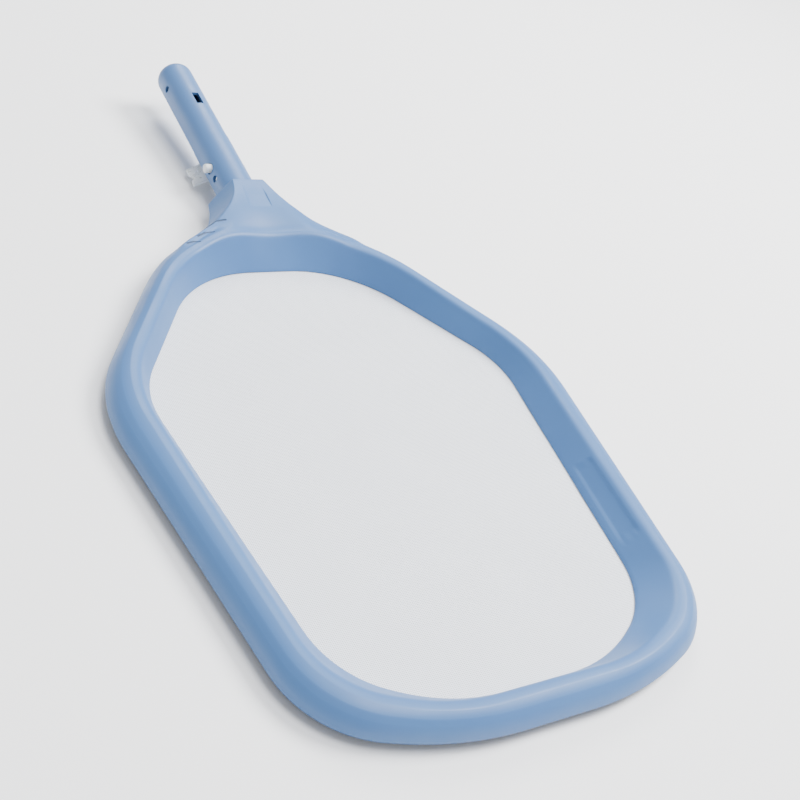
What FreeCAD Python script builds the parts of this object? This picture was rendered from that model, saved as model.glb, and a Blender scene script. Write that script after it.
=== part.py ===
import FreeCAD, Part
import math
import os

# Leaf skimmer net for a telescopic pool pole.  Millimetres, +Z up.
# X runs across the head, +Y along the handle away from the scoop's front edge.
# The origin is under the middle of the whole part, on the surface it lies on.

V = FreeCAD.Vector

# ---- head: three outlines of half the head, from the handle side to the front ----
# Each corner is (x, y, fillet radius), measured from the shoulder line and the net's plane.
HALF = 135.0              # half width of the opening at the shoulder line
FRONT = 246.0             # front edge of the opening, from the shoulder line
OPENING = [(60, 111, 85), (HALF, 0, 68), (HALF - 26, 33 - FRONT, 61), (HALF - 81, -FRONT, 110)]
CREST = [(62, 128, 110), (HALF + 14, -2, 98), (HALF - 9, 18 - FRONT, 57), (HALF - 67, -11 - FRONT, 130)]
LIP = [(66, 147, 120), (HALF + 33, -6, 105), (HALF + 4, 3 - FRONT, 65), (HALF - 73, -26 - FRONT, 215)]
RIM_HEIGHT = 18.5         # crest above the net's plane, along the sides and the front
NECK_RISE = 4.5           # how much higher the crest is where the handle joins
LIP_HEIGHT = 5.0          # outer lip above the net's plane
FOOT_WIDTH = 10.0         # flat foot that the net ring closes against
WALL = 2.4                # wall of the head moulding
CREST_INSIDE = 2.4        # round of the crest, towards the opening
CREST_OUTSIDE = 3.2       # round of the crest, towards the lip
CREST_DROP_IN, CREST_DROP_OUT = 1.1, 0.5   # how far the round falls on each side
FOOT_EDGE, FOOT_THICKNESS = 0.8, 1.6       # foot at the opening: square edge, then full thickness
FOOT_EASE = 0.5           # the eased edge's width
FOOT_TOE = 3.0            # where the hollow starts, beyond the inner wall
BULGE_ACROSS, BULGE_DOWN = 0.70, 0.36      # how full the outer wall is, as shares of its width and fall
LIP_TUCK = 3.0            # how far the lip's lower edge lies inside the lip
CUT_BELOW = 6.0           # hollows are cut this far below the net's plane
STATIONS = 72             # sections that the rim is lofted through

# ---- handle ----
SPIGOT_R = 14.0           # the stretch that a pole slides over
ROOT_STEP = 0.3           # how much thicker the stretch beside the collar is
ROOT_R = SPIGOT_R + ROOT_STEP
ROOT_LENGTH = 62.0        # of that stretch, outside the collar
HANDLE_WALL = 2.2
HANDLE_BORE_R = SPIGOT_R - HANDLE_WALL
HANDLE_TILT = 5.1         # degrees up from the net's plane
COLLAR_Y, COLLAR_Z = 177.0, 15.0   # the handle's axis where it leaves the collar
HANDLE_OUT = 154.5        # length outside the collar
TIP_ROUND = 9.0
PIN_AT = 32.5             # clip pins, along the axis from the collar
SPARE_HOLE_AT = 20.5      # second pair of holes, nearer the collar
TIP_HOLE_AT = HANDLE_OUT - 25.5    # pair of holes near the tip
SPARE_HOLE_R = 2.6
HOLE_RISE = 2.5           # the side holes and pins sit this far above the axis
TOP_SLOT_AT, TOP_SLOT_LENGTH, TOP_SLOT_WIDTH = HANDLE_OUT - 50.5, 13.0, 5.5
WINDOW_GAP = 0.9          # room beside a wing in the slot under the handle
WINDOW_END_GAP = 3.5      # room before and behind it
BOLT_R = 2.0
BOLT_IN = 17.0            # cross bolt, along the axis from the collar into the neck
BOLT_HEAD_R, BOLT_HEAD_H = 3.6, 2.6
BOLT_SPARE = 1.0          # bolt's length past its nut
NUT_R, NUT_H = 4.0, 3.0
FIT_GAP = 0.05            # clearance round a bolt, a screw or the handle's stub

# ---- neck: the moulding that runs up from the rim to the collar round the handle ----
SOCKET_DEPTH = 34.0       # how far the handle goes into the neck
SOCKET_WALL = 3.0
SOCKET_R = ROOT_R + FIT_GAP + SOCKET_WALL
SOCKET_INSET = 1.0        # the socket's wall stops this far inside the collar's face
COLLAR_ROOF = 1.45        # moulding above the socket's wall at the collar
COLLAR_TOP = COLLAR_Z + SOCKET_R + COLLAR_ROOF
CREST_TOP = RIM_HEIGHT + NECK_RISE
# Each row is (y, top half width, share of the rise from crest to collar, bottom half width, bottom
# height), and the half widths are what lies beyond the handle's radius.
NECK_ROWS = [(177, -2.3, 1.0, 11.4, 11.5), (166, 0.0, 0.963, 14.3, 9.6), (154, 5.7, 0.796, 20.2, 7.6),
             (144, 14.7, 0.537, 32.7, 6.0), (136, 26.7, 0.241, 44.7, 5.2), (131, 36.7, 0.0, 51.7, 5.0)]
NECK = [(y, ROOT_R + top, CREST_TOP + share * (COLLAR_TOP - CREST_TOP), ROOT_R + base, low)
        for y, top, share, base, low in NECK_ROWS]
NECK_WALL = 3.0
RIDGE_WALL, FLANK_WALL = 2.1, 3.75         # the neck's wall measured level, at its ridge and its base
RIB_PITCH = 7.5           # grip grooves on the neck's flanks
RIB_COUNT = 3
RIB_DEPTH = 1.2
RIB_WIDTH = 1.6
RIB_FIRST = 151.0         # y of the groove nearest the handle
RIB_REACH, RIB_LOW, RIB_HIGH = 9.0, -2.0, 11.0   # a groove's block, before it is leaned and turned
RIB_LEAN, RIB_TURN = 28.0, 38.0            # degrees
RIB_IN, RIB_RISE = 8.5, 12.0               # the block's origin, inside the flank and above the net
PANEL_WIDTH, PANEL_LENGTH, PANEL_DEPTH = 16.0, 13.0, 0.7
PANEL_Y = 157.0
BADGE_LENGTH, BADGE_WIDTH, BADGE_DEPTH = 62.0, 17.0, 0.7
BADGE_Y = -141.0          # middle of the blank recess on the inner wall

# ---- net and the ring that holds it ----
RING_THICKNESS = 3.5
RING_STANDOFF = 0.6       # the ring's inner edge stands this far outside the opening
RING_WIDTH = FOOT_WIDTH + 1.0
NET_THICKNESS = 0.6
NET_GRIP = 4.5            # how far the net reaches under the foot
NET_GAP = 0.1             # clearance round the net on each side
SCREW_COUNT = 12
SCREW_OUT = 7.5           # screws outside the opening
SCREW_R = 1.4
SCREW_HEAD_R, SCREW_HEAD_H = 2.7, 1.5
SCREW_LENGTH = 8.0
SCREW_TIP_ROOM = 0.5      # hole's depth past the screw's end
SCREW_SLOT_HALF, SCREW_SLOT_DEPTH = 0.4, 0.6
BOSS_R = 3.2
BOSS_HEIGHT = 7.0

# ---- spring clip ----
PIN_R = 3.4
PIN_OUT_LEFT, PIN_OUT_RIGHT = 3.6, 0.6     # pins beyond the handle's surface
PIN_HOLE_CLEARANCE = 0.4
PIN_SWING_ROOM = 1.0      # extra length of the hole towards the collar
CLIP_LENGTH = 56.0        # pins to hinge line
CLIP_HALF = 6.0           # hinge lines each side of the middle
CLIP_THICK = 2.0
CLIP_HEIGHT = 8.0
CLIP_RISE = 2.0           # middle of the spring above the handle's axis
CLIP_LOW, CLIP_HIGH = CLIP_RISE - CLIP_HEIGHT / 2, CLIP_RISE + CLIP_HEIGHT / 2
CLIP_ARM_GAP = 0.56       # clearance between an arm's upper corner and the handle's bore
CLIP_ARM_END = math.sqrt(HANDLE_BORE_R ** 2 - CLIP_HIGH ** 2) - CLIP_THICK / 2 - CLIP_ARM_GAP
PIN_EDGE = 1.0            # round of a pin's end
HINGE_R = 1.8
HINGE_GAP = 0.3
BEND_RUN = 2.0            # straight run of the bend beside the hinges
LUG_LENGTH, LUG_HEIGHT = 4.0, 4.0   # lugs that wedge the bend against the bore
LUG_OVERLAP = 0.5         # how far a lug starts inside the bend's wall
WING_FROM, WING_TO = 36.5, 54.5     # wings, along the axis from the collar
WING_THICK = 1.7
WING_IN = CLIP_ARM_END - CLIP_THICK / 2    # a wing's inner face, from the middle
WINDOW_HALF = WING_IN + WING_THICK + WINDOW_GAP
WINDOW_TOP = -4.0         # the slot under the handle is cut up to here
WING_DROP = 0.38          # depth of a wing's fold below the handle's surface at the slot's edge
WING_FOLD = math.sqrt(ROOT_R ** 2 - WINDOW_HALF ** 2) + WING_DROP
WING_STAND_OUT = 4.7      # a wing's end, outside the handle's side
WING_REACH, WING_FALL = ROOT_R + WING_STAND_OUT - WING_IN, 6.0
WING_ROOT = 1.0           # how far a wing runs up into its arm
WING_NOTCH = 3.0          # radius of the notch in a wing's outer edge
NOTCH_OUT, NOTCH_BACK = 1.0, 1.0    # the notch's middle, outside the edge and off the wing's middle


# ------------------------------------------------------------------ outlines
def corner_arc(before, at, after, radius):
    """Start, end, centre and radius of the arc that rounds the corner AT."""
    a = (before - at).normalize()
    b = (after - at).normalize()
    half = a.getAngle(b) / 2
    reach = radius / math.tan(half)
    centre = at + (a + b).normalize() * (radius / math.sin(half))
    return at + a * reach, at + b * reach, centre


def full_corners(half):
    right = [(V(x, y, 0), r) for x, y, r in half]
    left = [(V(-x, y, 0), r) for x, y, r in reversed(half)]
    return right + left


def arcs_of(half):
    ring = full_corners(half)
    n = len(ring)
    return [corner_arc(ring[i - 1][0], ring[i][0], ring[(i + 1) % n][0], ring[i][1]) for i in range(n)]


def outward(half, distance):
    """The outline moved outward by a distance, as corners with radii."""
    ring = full_corners(half)
    n = len(ring)
    moved = []
    for i in range(len(half)):
        at, r = ring[i]
        a = (at - ring[i - 1][0]).normalize()
        b = (ring[(i + 1) % n][0] - at).normalize()
        na, nb = V(-a.y, a.x, 0), V(-b.y, b.x, 0)
        bisector = (na + nb).normalize()
        step = distance / bisector.dot(na)
        moved.append((at.x + bisector.x * step, at.y + bisector.y * step, r + distance))
    return moved


def outline_wire(half):
    """Rounded outline, starting at the middle of the handle side."""
    arcs = arcs_of(half)
    first = (arcs[-1][1] + arcs[0][0]) / 2
    edges = [Part.LineSegment(first, arcs[0][0])]
    for i, (start, end, centre) in enumerate(arcs):
        middle = centre + ((start + end) / 2 - centre).normalize() * (start - centre).Length
        edges.append(Part.Arc(start, middle, end))
        edges.append(Part.LineSegment(end, arcs[i + 1][0] if i + 1 < len(arcs) else first))
    return Part.Wire([e.toShape() for e in edges])


def stations(half):
    """Evenly spaced points round an outline, the same count on every outline."""
    return outline_wire(half).discretize(STATIONS + 1)[:-1]


def prism(half, z, height):
    face = Part.Face(outline_wire(half))
    face.translate(V(0, 0, z))
    return face.extrude(V(0, 0, height))


# ------------------------------------------------------------------ head
def crest_height(y):
    t = min(max(y / 110.0, 0.0), 1.0)
    return RIM_HEIGHT + NECK_RISE * t * t * (3 - 2 * t)


def section(inner, crest, lip, wall):
    """One closed section of the rim: the solid rim for wall 0, its hollow for a wall."""
    out_in = (crest - inner).normalize()
    out = (lip - crest).normalize()
    top = crest_height(crest.y) - wall
    up = V(0, 0, 1)
    foot_top = WALL if wall else FOOT_THICKNESS
    if wall:
        base = inner + out_in * FOOT_WIDTH - up * CUT_BELOW
        foot = inner + out_in * FOOT_WIDTH + up * foot_top
        start = inner + out_in * (wall + FOOT_TOE) + up * foot_top
    else:
        base = inner
        foot = inner + up * FOOT_EDGE
        start = inner + up * foot_top + out_in * FOOT_EASE
    rise = crest - out_in * (CREST_INSIDE - wall * 0.6) + up * (top - CREST_DROP_IN)
    peak = crest + up * top + out * wall * 0.3
    fall = crest + out * CREST_OUTSIDE + up * (top - CREST_DROP_OUT)
    edge = lip - out * wall + up * LIP_HEIGHT
    across = V(edge.x - fall.x, edge.y - fall.y, 0)
    bulge = fall + across * BULGE_ACROSS + up * (edge.z - fall.z) * BULGE_DOWN
    low = V(edge.x, edge.y, -CUT_BELOW if wall else 0) - out * (0 if wall else LIP_TUCK)
    edges = [Part.LineSegment(base, foot), Part.LineSegment(foot, start),
             Part.LineSegment(start, rise), Part.Arc(rise, peak, fall),
             Part.Arc(fall, bulge, edge), Part.LineSegment(edge, low), Part.LineSegment(low, base)]
    return Part.Wire([e.toShape() for e in edges])


def rim_solid(wall):
    rows = zip(stations(OPENING), stations(CREST), stations(LIP))
    wires = [section(a, b, c, wall) for a, b, c in rows]
    return Part.makeLoft(wires, True, False, True)


# ------------------------------------------------------------------ handle frame
TILT = FreeCAD.Rotation(V(1, 0, 0), HANDLE_TILT)
COLLAR = V(0, COLLAR_Y, COLLAR_Z)


def on_handle(x, along, up=0.0):
    """A point given across, along and above the handle's axis, from the collar."""
    return COLLAR + TILT.multVec(V(x, along, up))


def place_on_handle(shape):
    """Puts a shape modelled about a level axis at the collar onto the tilted handle."""
    shape.Placement = FreeCAD.Placement(COLLAR, TILT).multiply(shape.Placement)
    return shape


def rod(radius, start, end):
    return Part.makeCylinder(radius, (end - start).Length, start, end - start)


def handle_rod(radius, start, end):
    return rod(radius, on_handle(0, start), on_handle(0, end))


def box(x, y, z):
    """A block from its low and high limits on each axis."""
    return Part.makeBox(x[1] - x[0], y[1] - y[0], z[1] - z[0], V(x[0], y[0], z[0]))


# ------------------------------------------------------------------ neck
def neck_solid(hollow=False, deep=False):
    """Flared neck behind the rim, or the hollow inside it.  DEEP carries the flanks' lower edges down."""
    wires = []
    for k, (y, top_half, top, base_half, base) in enumerate(NECK):
        if hollow:
            y = y - (NECK_WALL if k == 0 else 0)
            top_half, top, base_half = top_half - RIDGE_WALL, top - NECK_WALL, base_half - FLANK_WALL
        side = [(top_half, top), (base_half, base)] + ([(base_half, -CUT_BELOW)] if hollow or deep else [])
        corners = [V(x, y, z) for x, z in side] + [V(-x, y, z) for x, z in reversed(side)]
        wires.append(Part.makePolygon(corners + corners[:1]))
    return Part.makeLoft(wires, True, False)


def neck_half_width(y):
    """Half width of the neck's flank at half its height."""
    for (y0, t0, _, b0, _), (y1, t1, _, b1, _) in zip(NECK, NECK[1:]):
        if y1 <= y <= y0:
            t = (y0 - y) / (y0 - y1)
            return ((t0 + b0) * (1 - t) + (t1 + b1) * t) / 2
    return (NECK[-1][1] + NECK[-1][3]) / 2


def grip_grooves():
    """Shallow slots down each flank of the neck."""
    cuts = []
    for k in range(RIB_COUNT):
        y = RIB_FIRST - k * RIB_PITCH
        reach = neck_half_width(y)
        for side in (-1, 1):
            slot = box((-RIB_REACH, RIB_REACH), (-RIB_WIDTH / 2, RIB_WIDTH / 2), (RIB_LOW, RIB_HIGH))
            inner = box((-RIB_REACH, RIB_REACH - RIB_DEPTH), (-RIB_WIDTH, RIB_WIDTH), (RIB_LOW - 1, RIB_HIGH + 1))
            cut = slot.cut(inner)
            cut.rotate(V(0, 0, 0), V(0, 1, 0), -RIB_LEAN)
            if side < 0:
                cut = cut.mirror(V(0, 0, 0), V(1, 0, 0))
            cut.rotate(V(0, 0, 0), V(0, 0, 1), side * RIB_TURN)
            cut.translate(V(side * (reach - RIB_IN), y, RIB_RISE))
            cuts.append(cut)
    return cuts


def recess(length, width, depth):
    """A shallow pocket about the origin: LENGTH runs along Y, and it opens upward."""
    return box((-width / 2, width / 2), (-length / 2, length / 2), (-depth, CUT_BELOW))


def neck_panel():
    """Blank pocket on top of the neck."""
    (far, _, far_top, _, _), (near, _, near_top, _, _) = NECK[1], NECK[2]
    slope = (far_top - near_top) / (far - near)
    pocket = recess(PANEL_LENGTH, PANEL_WIDTH, PANEL_DEPTH)
    turn = FreeCAD.Rotation(V(1, 0, 0), math.degrees(math.atan(slope)))
    pocket.Placement = FreeCAD.Placement(V(0, PANEL_Y, near_top + slope * (PANEL_Y - near)), turn)
    return pocket


def badge_recess():
    """Blank pocket halfway up the inner wall on the right-hand side."""
    (xa, ya, _), (xb, yb, _) = OPENING[1], OPENING[2]
    (ca, da, _), (cb, db, _) = CREST[1], CREST[2]
    low = xa + (xb - xa) * (BADGE_Y - ya) / (yb - ya)
    high = ca + (cb - ca) * (BADGE_Y - da) / (db - da) - CREST_INSIDE
    crest_edge = RIM_HEIGHT - CREST_DROP_IN
    turn = math.degrees(math.atan2(xa - xb, ya - yb))
    lean = math.degrees(math.atan2(crest_edge - FOOT_THICKNESS, high - low))
    middle = V((low + high) / 2, BADGE_Y, (crest_edge + FOOT_THICKNESS) / 2)
    pocket = recess(BADGE_LENGTH, BADGE_WIDTH, BADGE_DEPTH)
    pocket.Placement = FreeCAD.Placement(middle, FreeCAD.Rotation(-turn, -lean, 0))
    return pocket


def screw_points():
    return outline_wire(outward(OPENING, SCREW_OUT)).discretize(SCREW_COUNT + 1)[:-1]


def socket_boss():
    """The tube inside the neck that holds the handle's stub, closed at its inner end.

    It stays under the neck's top and clear of the net ring.
    """
    boss = handle_rod(SOCKET_R, -SOCKET_DEPTH - SOCKET_WALL, -SOCKET_INSET)
    above_ring = box((-2 * SOCKET_R, 2 * SOCKET_R), (0, 2 * COLLAR_Y), (FIT_GAP, 2 * COLLAR_TOP))
    return boss.common(neck_solid(deep=True)).common(above_ring)


def head_frame():
    skin = rim_solid(0).fuse(neck_solid())
    shell = skin.cut(rim_solid(WALL).fuse(neck_solid(hollow=True)))
    bosses = [Part.makeCylinder(BOSS_R, BOSS_HEIGHT, p).common(skin) for p in screw_points()]
    shell = shell.fuse(bosses + [socket_boss()])
    depth = SCREW_LENGTH - RING_THICKNESS + SCREW_TIP_ROOM
    cuts = [Part.makeCylinder(SCREW_R + FIT_GAP, depth, p) for p in screw_points()]
    cuts.append(handle_rod(ROOT_R + FIT_GAP, -SOCKET_DEPTH, HANDLE_OUT))
    cuts.append(rod(BOLT_R + FIT_GAP, on_handle(-2 * SOCKET_R, -BOLT_IN), on_handle(2 * SOCKET_R, -BOLT_IN)))
    cuts += grip_grooves() + [neck_panel(), badge_recess()]
    for cut in cuts:
        shell = shell.cut(cut)
    return shell


# ------------------------------------------------------------------ net and ring
def net():
    return prism(outward(OPENING, NET_GRIP), -NET_GAP - NET_THICKNESS, NET_THICKNESS)


def net_ring():
    ring = prism(outward(OPENING, RING_STANDOFF + RING_WIDTH), -RING_THICKNESS, RING_THICKNESS)
    ring = ring.cut(prism(outward(OPENING, RING_STANDOFF), -RING_THICKNESS - 1, RING_THICKNESS + 2))
    seat = NET_THICKNESS + 2 * NET_GAP
    ring = ring.cut(prism(outward(OPENING, NET_GRIP + 2 * NET_GAP), -seat, seat + NET_GAP))
    for p in screw_points():
        base = p - V(0, 0, RING_THICKNESS)
        ring = ring.cut(Part.makeCylinder(SCREW_R + FIT_GAP, RING_THICKNESS + 1, base))
        ring = ring.cut(Part.makeCylinder(SCREW_HEAD_R + FIT_GAP, SCREW_HEAD_H, base))
    return ring


def ring_screw(p):
    base = p - V(0, 0, RING_THICKNESS)
    head = Part.makeCylinder(SCREW_HEAD_R, SCREW_HEAD_H, base)
    slot = box((-SCREW_HEAD_R, SCREW_HEAD_R), (-SCREW_SLOT_HALF, SCREW_SLOT_HALF), (-1, SCREW_SLOT_DEPTH))
    slot.translate(base)
    return head.fuse(Part.makeCylinder(SCREW_R, SCREW_LENGTH, base)).cut(slot)


# ------------------------------------------------------------------ handle
def side_holes(radius, along, rise=0.0, extra=0.0):
    """A pair of holes through the handle's two sides, longer by EXTRA towards the collar."""
    reach = SOCKET_R
    cut = rod(radius, V(-reach, along, rise), V(reach, along, rise))
    if extra:
        cut = cut.fuse(rod(radius, V(-reach, along - extra, rise), V(reach, along - extra, rise)))
        cut = cut.fuse(box((-reach, reach), (along - extra, along), (rise - radius, rise + radius)))
    return cut


def handle_tube():
    body = rod(SPIGOT_R, V(0, 0, 0), V(0, HANDLE_OUT, 0))
    tip = [e for e in body.Edges if e.BoundBox.YMin > HANDLE_OUT - 0.01]
    body = body.makeFillet(TIP_ROUND, tip)
    body = body.fuse(rod(ROOT_R, V(0, -SOCKET_DEPTH, 0), V(0, ROOT_LENGTH, 0)))
    body = body.cut(rod(HANDLE_BORE_R, V(0, -SOCKET_DEPTH - 1, 0), V(0, HANDLE_OUT - TIP_ROUND, 0)))
    half = TOP_SLOT_LENGTH / 2
    cuts = [side_holes(PIN_R + PIN_HOLE_CLEARANCE, PIN_AT, HOLE_RISE, PIN_SWING_ROOM),
            side_holes(SPARE_HOLE_R, SPARE_HOLE_AT, HOLE_RISE),
            side_holes(SPARE_HOLE_R, TIP_HOLE_AT, HOLE_RISE),
            side_holes(BOLT_R + FIT_GAP, -BOLT_IN),
            box((-TOP_SLOT_WIDTH / 2, TOP_SLOT_WIDTH / 2), (TOP_SLOT_AT - half, TOP_SLOT_AT + half), (0, SOCKET_R)),
            box((-WINDOW_HALF, WINDOW_HALF), (WING_FROM - WINDOW_END_GAP, WING_TO + WINDOW_END_GAP),
                (-SOCKET_R, WINDOW_TOP))]
    return place_on_handle(body.cut(cuts))


def socket_bolt():
    shank = rod(BOLT_R, V(-SOCKET_R - BOLT_SPARE, -BOLT_IN, 0), V(SOCKET_R + NUT_H + BOLT_SPARE, -BOLT_IN, 0))
    head = rod(BOLT_HEAD_R, V(-SOCKET_R - BOLT_HEAD_H, -BOLT_IN, 0), V(-SOCKET_R, -BOLT_IN, 0))
    return place_on_handle(shank.fuse(head))


def socket_nut():
    turns = [k * math.pi / 3 for k in range(7)]
    corners = [V(SOCKET_R, -BOLT_IN + NUT_R * math.sin(t), NUT_R * math.cos(t)) for t in turns]
    nut = Part.Face(Part.makePolygon(corners)).extrude(V(NUT_H, 0, 0))
    return place_on_handle(nut.cut(rod(BOLT_R + FIT_GAP, V(0, -BOLT_IN, 0), V(2 * SOCKET_R, -BOLT_IN, 0))))


# ------------------------------------------------------------------ spring clip
def clip_bend():
    """The closed end of the spring, wedged across the inside of the handle."""
    start = PIN_AT + CLIP_LENGTH + HINGE_R + HINGE_GAP
    turn = start + BEND_RUN
    outer, inner = CLIP_HALF + CLIP_THICK / 2, CLIP_HALF - CLIP_THICK / 2
    loop = Part.makeCylinder(outer, CLIP_HEIGHT, V(0, turn, CLIP_LOW))
    loop = loop.fuse(box((-outer, outer), (start, turn), (CLIP_LOW, CLIP_HIGH)))
    loop = loop.cut(Part.makeCylinder(inner, CLIP_HEIGHT, V(0, turn, CLIP_LOW)))
    loop = loop.cut(box((-inner, inner), (start - BEND_RUN, turn), (CLIP_LOW, CLIP_HIGH)))
    loop = loop.cut(box((-outer, outer), (start - 2 * outer, start), (CLIP_LOW, CLIP_HIGH)))
    bore = rod(HANDLE_BORE_R, V(0, start, 0), V(0, turn + 2 * LUG_LENGTH, 0))
    across, height = (inner + LUG_OVERLAP, HANDLE_BORE_R), (CLIP_RISE - LUG_HEIGHT / 2, CLIP_RISE + LUG_HEIGHT / 2)
    lug = box(across, (turn, turn + LUG_LENGTH), height).common(bore)
    return place_on_handle(loop.fuse([lug, lug.mirror(V(0, 0, 0), V(1, 0, 0))]))


def wing():
    """Finger tab: down out of the window, then outward, with a notch in its outer edge."""
    root = V(WING_IN, 0, CLIP_LOW + WING_ROOT)
    fold, end = V(WING_IN, 0, -WING_FOLD), V(WING_IN + WING_REACH, 0, -WING_FOLD - WING_FALL)
    thick, side = V(0, 0, -WING_THICK), V(WING_THICK, 0, 0)
    corners = [root, fold + thick, end + thick, end, fold + side, root + side]
    plate = Part.Face(Part.makePolygon(corners + corners[:1])).extrude(V(0, WING_TO - WING_FROM, 0))
    plate.translate(V(0, WING_FROM, 0))
    at = V(end.x + NOTCH_OUT, (WING_FROM + WING_TO) / 2 - NOTCH_BACK, end.z - 2 * WING_THICK)
    return plate.cut(Part.makeCylinder(WING_NOTCH, WING_FOLD + WING_FALL, at))


def clip_arm(side):
    hinge = PIN_AT + CLIP_LENGTH
    root, end = V(CLIP_HALF, hinge, CLIP_LOW), V(CLIP_ARM_END, PIN_AT - PIN_R, CLIP_LOW)
    t = V(CLIP_THICK / 2, 0, 0)
    strip = Part.Face(Part.makePolygon([root - t, end - t, end + t, root + t, root - t]))
    arm = strip.extrude(V(0, 0, CLIP_HEIGHT)).fuse(Part.makeCylinder(HINGE_R, CLIP_HEIGHT, root))
    tip = ROOT_R + (PIN_OUT_RIGHT if side > 0 else PIN_OUT_LEFT)
    pin = rod(PIN_R, V(CLIP_ARM_END, PIN_AT, HOLE_RISE), V(tip, PIN_AT, HOLE_RISE))
    rim = [e for e in pin.Edges if e.BoundBox.XMin > tip - 0.01]
    arm = arm.fuse([pin.makeFillet(PIN_EDGE, rim), wing()])
    if side < 0:
        arm = arm.mirror(V(0, 0, 0), V(1, 0, 0))
    return place_on_handle(arm)


# ------------------------------------------------------------------ write the pieces
def main():
    parts = {"head_frame": head_frame(), "net": net(), "net_ring": net_ring(),
             "handle_tube": handle_tube(), "socket_bolt": socket_bolt(), "socket_nut": socket_nut(),
             "clip_bend": clip_bend(), "clip_arm_right": clip_arm(1), "clip_arm_left": clip_arm(-1)}
    for k, p in enumerate(screw_points()):
        parts["ring_screw_%d" % (k + 1)] = ring_screw(p)
    front = parts["head_frame"].BoundBox.YMin
    tip = parts["handle_tube"].BoundBox.YMax
    shift = V(0, -(front + tip) / 2, RING_THICKNESS)
    os.makedirs("parts", exist_ok=True)
    for name, shape in parts.items():
        shape.translate(shift)
        shape.exportStep("parts/%s.step" % name)
        print(name, len(shape.Solids), shape.isValid(), round(shape.Volume), shape.BoundBox)
    print("shift", shift)
    for side in (-1, 1):
        print("hinge", on_handle(side * CLIP_HALF, PIN_AT + CLIP_LENGTH) + shift)
    print("collar", COLLAR + shift, "tip", on_handle(0, HANDLE_OUT) + shift)


main()
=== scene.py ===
import math

import bpy
import numpy as np
from mathutils import Matrix, Vector


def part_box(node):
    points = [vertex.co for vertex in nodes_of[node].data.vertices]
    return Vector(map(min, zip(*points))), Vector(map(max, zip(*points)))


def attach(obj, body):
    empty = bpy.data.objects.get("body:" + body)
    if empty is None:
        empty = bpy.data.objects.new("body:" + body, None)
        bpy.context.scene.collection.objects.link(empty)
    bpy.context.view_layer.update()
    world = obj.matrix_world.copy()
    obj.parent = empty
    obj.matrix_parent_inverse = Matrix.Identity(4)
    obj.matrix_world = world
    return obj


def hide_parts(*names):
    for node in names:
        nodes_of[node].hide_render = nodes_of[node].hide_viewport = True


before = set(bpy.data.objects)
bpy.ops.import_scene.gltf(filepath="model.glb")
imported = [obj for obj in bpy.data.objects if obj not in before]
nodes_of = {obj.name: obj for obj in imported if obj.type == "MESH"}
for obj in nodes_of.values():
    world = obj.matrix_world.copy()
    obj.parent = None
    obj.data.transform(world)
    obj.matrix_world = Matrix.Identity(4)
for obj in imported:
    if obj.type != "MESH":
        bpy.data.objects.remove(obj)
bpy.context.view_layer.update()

MM = 0.001

# ---------------------------------------------------------------- places, from the frame
NET_REACH = 4.5            # mm that the net's edge lies outside the opening
FRONT_OF_OPENING = -246.0  # mm from the shoulder line to the opening's front edge
NET_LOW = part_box("net")[0]
ORIGIN = np.array([0.0, NET_LOW[1] / MM - (FRONT_OF_OPENING - NET_REACH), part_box("net_ring")[1][2] / MM])

# ---------------------------------------------------------------- head sizes, mm from the shoulder line
OPENING = [(60, 111, 85), (135, 0, 68), (109, -213, 61), (54, -246, 110)]
CREST = [(62, 128, 110), (149, -2, 98), (126, -228, 57), (68, -257, 130)]
LIP = [(66, 147, 120), (168, -6, 105), (139, -243, 65), (62, -272, 215)]
RIM_HEIGHT, NECK_RISE, LIP_HEIGHT = 18.5, 4.5, 5.0
WALL, FOOT_WIDTH = 2.4, 10.0
COLLAR_Y, COLLAR_Z, NECK_WALL = 177.0, 15.0, 3.0
HANDLE_TILT, SOCKET_DEPTH, SOCKET_WALL = 5.1, 34.0, 3.0
COLLAR_SHARE, NECK_END = 0.03, 0.125    # shares of the half outline: the collar's corner, the neck's end
CREST_WAVE = 3.2           # mm by which the crest rises on each side of the neck's middle
HALF_STATIONS = 398
BORE_R = 14.35
RIDGE = [(12, 177, 33.8), (14.3, 168, 33.5), (16.8, 161.3, 32.8), (21.6, 153.7, 31.4), (27.8, 146.9, 29.4),
         (35, 140.1, 27.0), (44.5, 134, 24.7), (54.5, 127.5, 23.2), (64, 121.5, 22.3)]
SKIRT = [(25.7, 177, 11.5), (28.6, 166, 9.6), (34.5, 154, 7.6), (46.5, 143.5, 6.0), (62, 132, 5.0)]
# each groove's plan points on the left flank, with x counted to the left, from its upper end down
GROOVES = [[(32, 136.9), (39.5, 136.8), (48.5, 131.6)], [(44, 126.6), (50, 127.2), (56.5, 124.2)],
           [(58, 117.4), (61.5, 119.0), (66.5, 117.8)]]
# the grooves' half width and depth in mm, and the painted shade in them: the share of the dark tone that their
# colour is darkened to
GROOVE_HALF, GROOVE_DEPTH, GROOVE_PAINTED_SHADE = 0.9, 0.8, 0.35
PANEL_HALF_WIDTH, PANEL_FROM, PANEL_TO, PANEL_DEPTH = 8.0, 150.5, 163.5, 0.7
PANEL_EASE_BACK, PANEL_EASE_FRONT, PANEL_EASE_SIDE = 6.0, 1.5, 0.6
BADGE_FROM, BADGE_TO, BADGE_LOW, BADGE_HIGH, BADGE_DEPTH = -172.0, -110.0, 0.24, 0.80, 0.7
BADGE_EASE, BADGE_EASE_UP = 1.4, 0.06      # mm along the wall, and a share of its height
FOOT_TOE = 1.3             # mm from the foot's underside to the start of the inner wall
CREST_DROP_IN, CREST_DROP_OUT = 1.1, 0.5
CREST_TUCK_IN, CREST_TUCK_OUT = 2.4, 3.2   # mm of flat top on each side of the crest line
BULGE_ACROSS, BULGE_DOWN = 0.90, 0.22      # shares of the way from the crest to the lip
SHOULDER_SHARES = (0.07, 0.14, 0.21, 0.3, 0.65)
LIP_TUCK, LIP_RISE = 1.9, 4.0
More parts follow.
